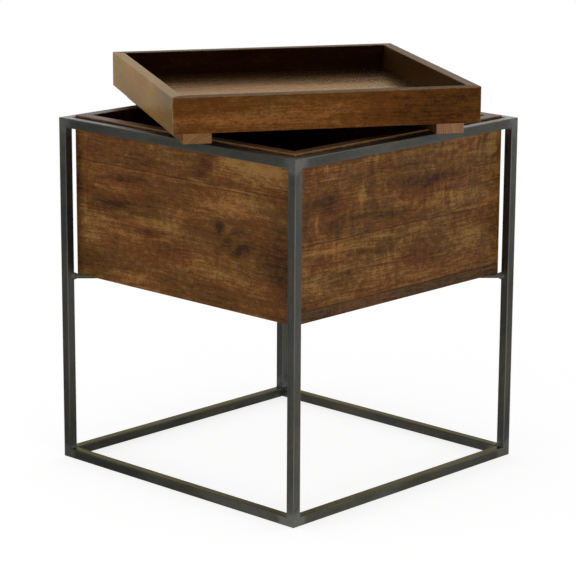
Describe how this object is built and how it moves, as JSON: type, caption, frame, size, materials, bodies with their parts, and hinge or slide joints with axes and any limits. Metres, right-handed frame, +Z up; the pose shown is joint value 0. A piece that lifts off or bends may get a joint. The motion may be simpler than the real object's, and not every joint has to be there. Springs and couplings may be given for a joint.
{
  "type": "end table",
  "caption": "Square steel-tube end table with an open wooden storage box and a lift-off wooden tray top, shown lifted off and turned on the box's rim.",
  "frame": {"origin": "middle of the frame's footprint, on the floor", "axes": "+Z up, X and Y along the frame's sides; -Y is the front"},
  "size_m": [0.6468, 0.6468, 0.6288],
  "materials": {
    "tube_steel": "blackened steel tube, clear coated, satin",
    "rod_steel": "blackened round bar, clear coated",
    "weld": "rough weld bead, clear coated",
    "tab_steel": "blackened steel plate",
    "screw": "zinc-plated screw",
    "box_wood": "walnut-stained solid wood, satin lacquer",
    "box_panel_wood": "walnut-stained wood panel, satin lacquer",
    "tray_wood": "walnut-stained solid wood, satin lacquer, worn arrises",
    "tray_panel_wood": "walnut-stained wood panel, satin lacquer",
    "batten_wood": "lightly stained wood, end grain showing"
  },
  "bodies": {
    "table": {"bottom_rail_front": "tube_steel", "bottom_rail_left": "tube_steel", "bottom_rail_rear": "tube_steel", "bottom_rail_right": "tube_steel", "box_bottom_panel": "box_panel_wood", "box_fixing_screws": "screw", "box_fixing_tabs": "tab_steel", "box_front_lower_board": "box_wood", "box_front_upper_board": "box_wood", "box_left_lower_board": "box_wood", "box_left_upper_board": "box_wood", "box_rear_lower_board": "box_wood", "box_rear_upper_board": "box_wood", "box_right_lower_board": "box_wood", "box_right_strip_board": "box_wood", "box_right_upper_board": "box_wood", "corner_welds": "weld", "cross_rod_full": "rod_steel", "cross_rod_half_front": "rod_steel", "cross_rod_half_rear": "rod_steel", "leg_front_left": "tube_steel", "leg_front_right": "tube_steel", "leg_rear_left": "tube_steel", "leg_rear_right": "tube_steel", "rod_welds": "weld", "top_rail_front": "tube_steel", "top_rail_left": "tube_steel", "top_rail_rear": "tube_steel", "top_rail_right": "tube_steel"},
    "tray": {"tray_batten_screws": "screw", "tray_bottom_panel": "tray_panel_wood", "tray_front_batten": "batten_wood", "tray_front_wall": "tray_wood", "tray_left_wall": "tray_wood", "tray_rear_batten": "batten_wood", "tray_rear_wall": "tray_wood", "tray_right_wall": "tray_wood"}
  },
  "joints": [
    {"name": "tray_lift", "type": "slide", "parent": "table", "child": "tray", "axis": [0, 0, 1], "range_m": [0, 0.25]}
  ]
}
